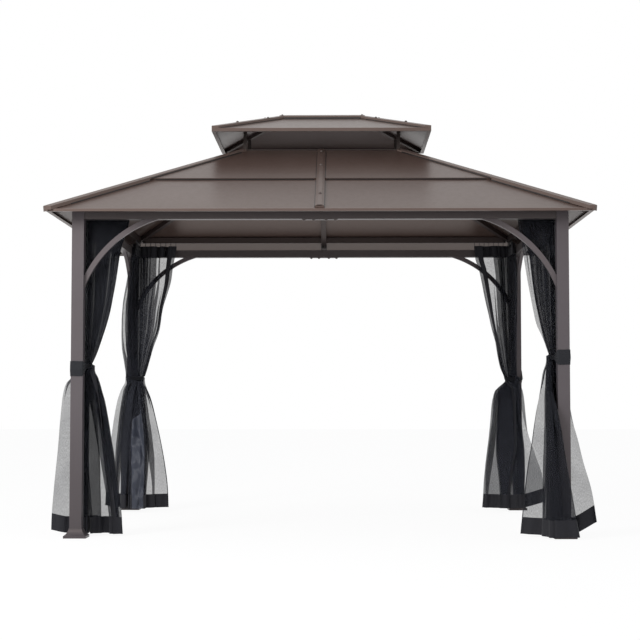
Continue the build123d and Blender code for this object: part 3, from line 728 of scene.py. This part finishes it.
def net_points(shape, side_x, side_y, seed, row_heights, hem_shares, flap):
    """Places of the sheet's vertices, row by row from the rail down."""
    rng = random.Random(seed)
    lean = [rng.uniform(-0.3, 0.3) for _ in range(pleats + 1)]
    strength = [rng.uniform(0.7, 1.25) for _ in range(pleats + 1)]
    overlap = [rng.uniform(0.45, 1.05) for _ in range(pleats + 1)]
    cloth_per_pleat = sheet_width / pleats
    top_level = header_top + shape.get("lift", 0.0)
    waist_top = shape["waist"] + pinch_half
    rail_columns = columns_along([row[0] for row in shape["rail_line"]])
    hem_columns = columns_along(hem_shares)
    gathered_points = rail_points(shape, waist_top)[0]
    last_turn = hem_shares[-2]
    made = []
    for fallen in row_heights:
        level = top_level - fallen * (top_level - shape["hem"]) / sheet_height
        above = level >= waist_top
        opened = ease((waist_top - level) / open_drop)
        low_share = ease((waist_top - level) / (waist_top * 0.7))
        if above:
            points, depth = rail_points(shape, level)
        else:
            points, depth = skirt_points(shape, level), skirt_fold - skirt_fold_loss * low_share
        for column in range(column_count + 1):
            share = column / column_count
            where, pace = rail_columns[column] if above else hem_columns[column]
            centre, way = curve_point(points, where)
            if opened < 1 and not above:
                held = curve_point(gathered_points, rail_columns[column][0])[0]
                centre = held.lerp(centre, opened)
            normal = Vector((-way.y, way.x)).normalized()

            # Pleats, as deep as the fullness of the cloth allows, and how far they lie over
            tilt = of_pleat(lean, share)
            wander = waver(share * 9.0, level * 1.1, seed * 3.7)
            turn = 2 * math.pi * (share * pleats + tilt + 0.32 * wander * ease(fallen / 0.4))
            wave = math.sin(turn) + 0.18 * math.sin(2 * turn + 1.3 * tilt)
            pitch = max(way.length * pace / pleats, 0.001)
            fullness = cloth_per_pleat / pitch
            fullest = 0.32 * pitch * math.sqrt(max(fullness - 1, 0.04))
            swell = min(depth * of_pleat(strength, share), fullest)
            lie = of_pleat(overlap, share) * min(pitch, 0.034) * ease((fullness - 1.1) / 1.6)
            laid = lie * (1 - 0.8 * low_share)

            # Creases, and the hem's rise at its outer end
            crease = 0.004 * waver(share * 60.0, level * 7.0, seed * 1.9) * ease(fallen / 0.5)
            if flap[0] <= share < flap[1] and not above:
                crease += 0.012 * opened * waver(share * 70.0, level * 11.0, seed * 2.3)
            flat_place = centre + normal * (swell * wave + crease)
            flat_place -= way.normalized() * laid * math.sin(2 * turn + 0.5 * wander)
            lift = shape["rise"] * max(0.0, (share - last_turn) / (1 - last_turn)) * ease((0.6 - level) / 0.5)
            swing = 0.006 * waver(share * 14.0, 0.3, seed * 5.1) * ease((0.4 - level) / 0.4)
            z = level + lift + swing * 0.8
            a, b = clear_of_post(flat_place.x, flat_place.y, z)
            made.append((side_x * (inner_x - a), side_y * (inner_y - b), max(z, lowest_point)))
    return made


def net_finish(shape, share, down, flap):
    """Number of the material on a face of the sheet: 0 mesh, 1 border, 2 flap."""
    level = header_top - down
    if flap[0] <= share < flap[1] and level < flap_top - flap_slant * (share - flap[0]):
        return 2
    on_edge = share * sheet_width < shape["edge_band"][level < shape["waist"]]
    on_end = down < header_height or down > sheet_height - hem_height
    return 1 if on_edge or on_end else 0


def make_net(place, side_x, side_y, seed):
    """Pleated sheet from rail to hem, gathered by its tie."""
    shape = net_shapes[place]
    row_heights = sheet_levels(shape["waist"], "flap" in shape)
    hem_shares = line_shares(skirt_points(shape, 0.0))
    flap = hem_shares[shape["flap"]:shape["flap"] + 2] if "flap" in shape else (0.0, 0.0)
    faces, finishes = [], []
    wide = column_count + 1
    for r in range(len(row_heights) - 1):
        down = (row_heights[r] + row_heights[r + 1]) / 2
        for c in range(column_count):
            faces.append((r * wide + c, r * wide + c + 1, (r + 1) * wide + c + 1, (r + 1) * wide + c))
            finishes.append(net_finish(shape, (c + 0.5) / column_count, down, flap))
    mesh = bpy.data.meshes.new("net_" + place + "_cloth")
    mesh.from_pydata(net_points(shape, side_x, side_y, seed, row_heights, hem_shares, flap), [], faces)
    flat = mesh.uv_layers.new(name="cloth")
    for polygon, finish in zip(mesh.polygons, finishes):
        polygon.material_index = finish
        polygon.use_smooth = True
        for loop in polygon.loop_indices:
            r, c = divmod(mesh.loops[loop].vertex_index, wide)
            flat.data[loop].uv = (c / column_count * sheet_width, row_heights[r])
    # Back nets take the painted light copy of the mesh
    for material in (net_mesh if side_y < 0 else back_net_lightened, net_border, net_flap):
        mesh.materials.append(material)
    made = new_piece("net_" + place + "_cloth", mesh)
    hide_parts("net_" + place)
    return made


corners = {"front_left": (-1, -1), "front_right": (1, -1), "back_left": (-1, 1), "back_right": (1, 1)}
first_net_seed, first_tie_seed = 3, 11
for number, (place, (side_x, side_y)) in enumerate(corners.items()):
    make_net(place, side_x, side_y, number + first_net_seed)


# Tie bands: soft straps round post and net, drawn narrow where they hold the net
band_reach = 0.0845
band_corner = 0.006
band_rows = 24
band_narrowing = 0.72


def band_ring(bunch):
    """Outline of a band from above, with small round corners."""
    hull = [Vector(point) for point in ((-band_reach, -band_reach), (0.0, -band_reach), *bunch)]
    ring = []
    for index, point in enumerate(hull):
        before, after = hull[index - 1], hull[(index + 1) % len(hull)]
        turn_in = point + (before - point).normalized() * band_corner
        turn_out = point + (after - point).normalized() * band_corner
        for share in (0.0, 0.33, 0.67, 1.0):
            ring.append(turn_in.lerp(point, share).lerp(point.lerp(turn_out, share), share))
        for share in (0.25, 0.5, 0.75):
            ring.append(turn_out.lerp(after + (point - after).normalized() * band_corner, share))
    return ring


def make_tie(place, side_x, side_y, seed):
    level, waist = net_shapes[place]["tie"], net_shapes[place]["waist"]
    ring = band_ring(net_shapes[place]["bunch"])
    count = len(ring)
    mesh_points, faces = [], []
    for r in range(band_rows + 1):
        across = r / band_rows * 2 - 1
        height = across * tie_half
        for point in ring:
            drawn = ease((max(point.x, point.y) + 0.004) / 0.03)
            swell = waver(point.x * 30, point.y * 30, height * 25 + seed)
            ripple = drawn * (0.007 * math.sin(across * 9.4 + swell) - 0.004)
            away = point.normalized() * (0.0012 * swell + 0.0012 * math.cos(across * math.pi) + ripple)
            edge = 0.0025 * waver(point.x * 22, point.y * 22, seed * 2.0)
            a, b = point + away
            middle = level + (waist - level) * drawn
            z = middle + height * (1 - band_narrowing * drawn) + edge
            mesh_points.append((side_x * (inner_x - a), side_y * (inner_y - b), z))
    for r in range(band_rows):
        for c in range(count):
            after = (c + 1) % count
            faces.append((r * count + c, r * count + after, (r + 1) * count + after, (r + 1) * count + c))
    mesh = bpy.data.meshes.new("tie_" + place)
    mesh.from_pydata(mesh_points, [], faces)
    flat = mesh.uv_layers.new(name="cloth")
    travelled = [0.0]
    for index in range(count):
        travelled.append(travelled[-1] + (ring[(index + 1) % count] - ring[index]).length)
    for polygon in mesh.polygons:
        polygon.use_smooth = True
        r, c = divmod(polygon.index, count)
        for loop, (row, column) in zip(polygon.loop_indices, ((r, c), (r, c + 1), (r + 1, c + 1), (r + 1, c))):
            flat.data[loop].uv = (travelled[column], row / band_rows * 2 * tie_half)
    mesh.materials.append(tie_cloth)
    made = new_piece("tie_" + place, mesh)
    return made


for number, (place, (side_x, side_y)) in enumerate(corners.items()):
    make_tie(place, side_x, side_y, number + first_tie_seed)
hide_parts("tie_bands")


def round_ring(bm, centre, first, second, radius, sides):
    """Ring of vertices; first and second span its plane."""
    ring = []
    for k in range(sides):
        angle = 2 * math.pi * k / sides
        ring.append(bm.verts.new(centre + (first * math.cos(angle) + second * math.sin(angle)) * radius))
    return ring


def sweep(bm, points, radius, sides):
    """Small round section along points."""
    rings = []
    for index, point in enumerate(points):
        way = (points[min(index + 1, len(points) - 1)] - points[max(index - 1, 0)]).normalized()
        first = way.orthogonal().normalized()
        rings.append(round_ring(bm, point, first, way.cross(first), radius, sides))
    for ring, later in zip(rings, rings[1:]):
        offset = min(range(sides), key=lambda s: (later[s].co - ring[0].co).length)
        for k in range(sides):
            bm.faces.new((ring[k], ring[(k + 1) % sides], later[(k + 1 + offset) % sides], later[(k + offset) % sides]))
    bm.faces.new(reversed(rings[0]))
    bm.faces.new(rings[-1])


def finished(bm, name, material):
    bmesh.ops.recalc_face_normals(bm, faces=bm.faces)
    mesh = bpy.data.meshes.new(name)
    bm.to_mesh(mesh)
    bm.free()
    for polygon in mesh.polygons:
        polygon.use_smooth = True
    mesh.materials.append(material)
    return new_piece(name, mesh)


# Hooks that carry the headers on the rails
hooks_per_leg = 8
hook_inset = 0.03
hook_radius = 0.0024
hook_sides = 6
hook_line = (
    (0.0, 0.004), (0.0, -0.004), (0.0, -0.016), (0.007, -0.021), (0.010, -0.029), (0.006, -0.038), (-0.003, -0.043),
    (-0.010, -0.050), (-0.010, -0.060), (-0.003, -0.066), (0.005, -0.062),
)


def make_hooks(place, side_x, side_y):
    bm = bmesh.new()
    for leg, length in enumerate(net_shapes[place]["upper"][0][1:3]):
        wide = Vector((0, side_y, 0)) if leg == 0 else Vector((side_x, 0, 0))
        for k in range(hooks_per_leg):
            along = hook_inset + (length - hook_inset) * k / (hooks_per_leg - 1)
            a, b = (along, hook_inset) if leg == 0 else (hook_inset, along)
            foot = Vector((side_x * (inner_x - a), side_y * (inner_y - b), rail_low))
            sweep(bm, [foot + wide * u + Vector((0, 0, v)) for u, v in hook_line], hook_radius, hook_sides)
    return finished(bm, "hooks_" + place, hook_plastic)


hook_pieces = {place: make_hooks(place, *sides) for place, sides in corners.items()}


# The roof's planes, as in the part's source, and its sides: outward, along the eave, half depth, half length
lower_pitch = math.radians(25.5)
top_pitch = math.radians(18.9)
eave_base = 2.16813
top_eave_base = 2.8904
slope = math.tan(lower_pitch)
half_length = -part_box("left_eave_trim")[0].x
half_width = -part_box("front_eave_trim")[0].y
top_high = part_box("top_hip_caps")[1]
top_half_x, top_half_y = top_high.x, top_high.y
ridge_half = top_half_x - top_half_y
ridge_low, ridge_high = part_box("top_ridge_cap")
along_x, along_y, upright = Vector((1, 0, 0)), Vector((0, 1, 0)), Vector((0, 0, 1))
roof_sides = (
    (-along_y, along_x, half_width, half_length),
    (along_y, along_x, half_width, half_length),
    (-along_x, along_y, half_length, half_width),
    (along_x, along_y, half_length, half_width),
)


def on_roof(outward, half, run):
    """Point of the lower roof plane in the middle of a side, at a run from its eave."""
    return outward * (half - run) + upright * (eave_base + run * slope)


def roof_normal(outward):
    return outward * math.sin(lower_pitch) + upright * math.cos(lower_pitch)


# Bolts: domed heads on washers
bolt_outline = ((1.35, 0.0), (1.35, 0.18), (1.02, 0.24), (0.98, 0.46), (0.8, 0.72), (0.48, 0.9), (0.0, 0.96))
bolt_sides = 16
cap_bolt, hip_bolt, ridge_bolt, splice_bolt = 0.0095, 0.0085, 0.007, 0.009
cap_top, hip_cap_top = 0.028, 0.022
cap_bolt_runs = (0.238, 0.844, 1.162)
hip_bolt_places = ((0.36, 0.0), (0.77, 0.016), (0.77, -0.016))
splice_bolt_places = (-0.106, -0.042, 0.042, 0.106)
ridge_bolt_inset, ridge_bolt_sink, splice_bolt_inset = 0.02, 0.001, 0.023


def dome_bolt(bm, place, axis, radius):
    """Domed head with a flange, standing out along axis."""
    first = axis.orthogonal().normalized()
    second = axis.cross(first)
    rings = []
    for out, up in bolt_outline[:-1]:
        rings.append(round_ring(bm, place + axis * (up * radius), first, second, out * radius, bolt_sides))
    tip = bm.verts.new(place + axis * (bolt_outline[-1][1] * radius))
    for ring, later in zip(rings, rings[1:]):
        for k in range(bolt_sides):
            bm.faces.new((ring[k], ring[(k + 1) % bolt_sides], later[(k + 1) % bolt_sides], later[k]))
    for k in range(bolt_sides):
        bm.faces.new((rings[-1][k], rings[-1][(k + 1) % bolt_sides], tip))
    bm.faces.new(reversed(rings[0]))


def hip_fall(pitch):
    """Angle by which both slopes fall away from a line across their hip."""
    return math.acos(math.cos(pitch) ** 2) / 2


def hip_frame(side_x, side_y, half_x, half_y, base, pitch):
    """Foot of a hip, its direction for one metre of run, across it and up from it."""
    rise = math.tan(pitch)
    foot = Vector((side_x * half_x, side_y * half_y, base))
    along = Vector((-side_x, -side_y, rise))
    across = Vector((-side_y, side_x, 0)).normalized()
    up = Vector((side_x * rise, side_y * rise, 2)).normalized()
    return foot, along, across, up


bm = bmesh.new()
for outward, _, half, _ in roof_sides:
    normal = roof_normal(outward)
    for run in cap_bolt_runs:
        dome_bolt(bm, on_roof(outward, half, run) + normal * cap_top, normal, cap_bolt)
fall = hip_fall(top_pitch)
for side_x, side_y in corners.values():
    foot, along, across, up = hip_frame(side_x, side_y, top_half_x, top_half_y, top_eave_base, top_pitch)
    for share, spread in hip_bolt_places:
        lifted = up * (hip_cap_top / math.cos(fall) - abs(spread) * math.tan(fall))
        dome_bolt(bm, foot + along * (share * top_half_y) + lifted + across * spread, up, hip_bolt)
for side_x in (-1, 1):
    end = Vector((side_x * (ridge_high.x - ridge_bolt_inset), 0, ridge_high.z - ridge_bolt_sink))
    dome_bolt(bm, end, upright, ridge_bolt)
splice_low, splice_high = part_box("beam_splices")
for side_y in (-1, 1):
    for x in splice_bolt_places:
        dome_bolt(bm, Vector((x, side_y * (splice_high.y - splice_bolt_inset), splice_low.z)), -upright, splice_bolt)
finished(bm, "bolts", bolt_steel)


# Painted shadow strips: dark strips in the joints between caps and sheets, for the shadow lines there. A row is where a
# strip starts and ends, as runs from the eave, and the height of its sheet over the roof's plane.
lower_sheet, upper_sheet = 0.003, 0.016
lower_row_end, upper_row_start = 0.585, 0.6
hip_rows = ((0.12, lower_row_end, lower_sheet), (upper_row_start, 1.19, upper_sheet))
rafter_rows = ((0.03, lower_row_end, lower_sheet), (upper_row_start, 1.17, upper_sheet))
top_rows = ((0.04, top_half_y - 0.06, lower_sheet),)
hip_cap_half, top_cap_half, rafter_cap_half = 0.039, 0.036, 0.03
hip_shadow_size = (0.004, 0.0075)
top_shadow_size = (0.004, 0.005)
seam_shadow_size = (0.003, 0.0075)
rafter_shadow_size = (0.005, 0.004)
ridge_shadow_size = (0.004, 0.015)
seam_run, seam_lift = 0.59, 0.0035
hip_gap, rafter_gap, ridge_gap = 0.06, 0.045, 0.008
ridge_shadow_out, ridge_shadow_sink = 0.0005, 0.004


def strip(bm, start, end, out, up, size):
    """Four-sided bar from start to end; out and up span its section, and size is its width and height."""
    wide, tall = size
    section = ((0, 0), (wide, 0), (wide, 0.6 * tall), (0, tall))
    rings = [[bm.verts.new(point + out * u + up * v) for u, v in section] for point in (start, end)]
    for k in range(4):
        bm.faces.new((rings[0][k], rings[0][(k + 1) % 4], rings[1][(k + 1) % 4], rings[1][k]))
    bm.faces.new(reversed(rings[0]))
    bm.faces.new(rings[1])


def hip_shadow_strips(bm, plan, half_cap, size, rows):
    """Painted shadow strips along both edges of the caps on four hips; plan is half length, half depth, eave height and
    pitch.
    """
    fall = hip_fall(plan[-1])
    edge = half_cap * math.cos(fall)
    for side_x, side_y in corners.values():
        foot, along, across, up = hip_frame(side_x, side_y, *plan)
        for low, high, sheet in rows:
            for side in (-1, 1):
                on_sheet = across * (side * edge) + up * (sheet / math.cos(fall) - edge * math.tan(fall))
                strip(bm, foot + along * low + on_sheet, foot + along * high + on_sheet, across * side, up, size)


bm = bmesh.new()
hip_shadow_strips(bm, (half_length, half_width, eave_base, lower_pitch), hip_cap_half, hip_shadow_size, hip_rows)
hip_shadow_strips(bm, (top_half_x, top_half_y, top_eave_base, top_pitch), top_cap_half, top_shadow_size, top_rows)
for outward, along, half, other in roof_sides:
    down = outward * math.cos(lower_pitch) - upright * math.sin(lower_pitch)
    normal = roof_normal(outward)
    middle = on_roof(outward, half, seam_run) + normal * seam_lift
    reach = other - seam_run - hip_gap
    for end in (-1, 1):
        strip(bm, middle + along * (end * rafter_gap), middle + along * (end * reach), down, normal, seam_shadow_size)
    for low, high, sheet in rafter_rows:
        for end in (-1, 1):
            beside = along * (end * rafter_cap_half) + normal * sheet
            low_end, high_end = on_roof(outward, half, low) + beside, on_roof(outward, half, high) + beside
            strip(bm, low_end, high_end, along * end, normal, rafter_shadow_size)
for side in (-1, 1):
    start = Vector((ridge_gap - ridge_half, side * (ridge_high.y + ridge_shadow_out), ridge_low.z - ridge_shadow_sink))
    strip(bm, start, Vector((-start.x, start.y, start.z)), along_y * side, upright, ridge_shadow_size)
# All painted shadow strips as one piece
shadow_strips = finished(bm, "shadow_strips", shadow_strip_finish)
for polygon in shadow_strips.data.polygons:
    polygon.use_smooth = False
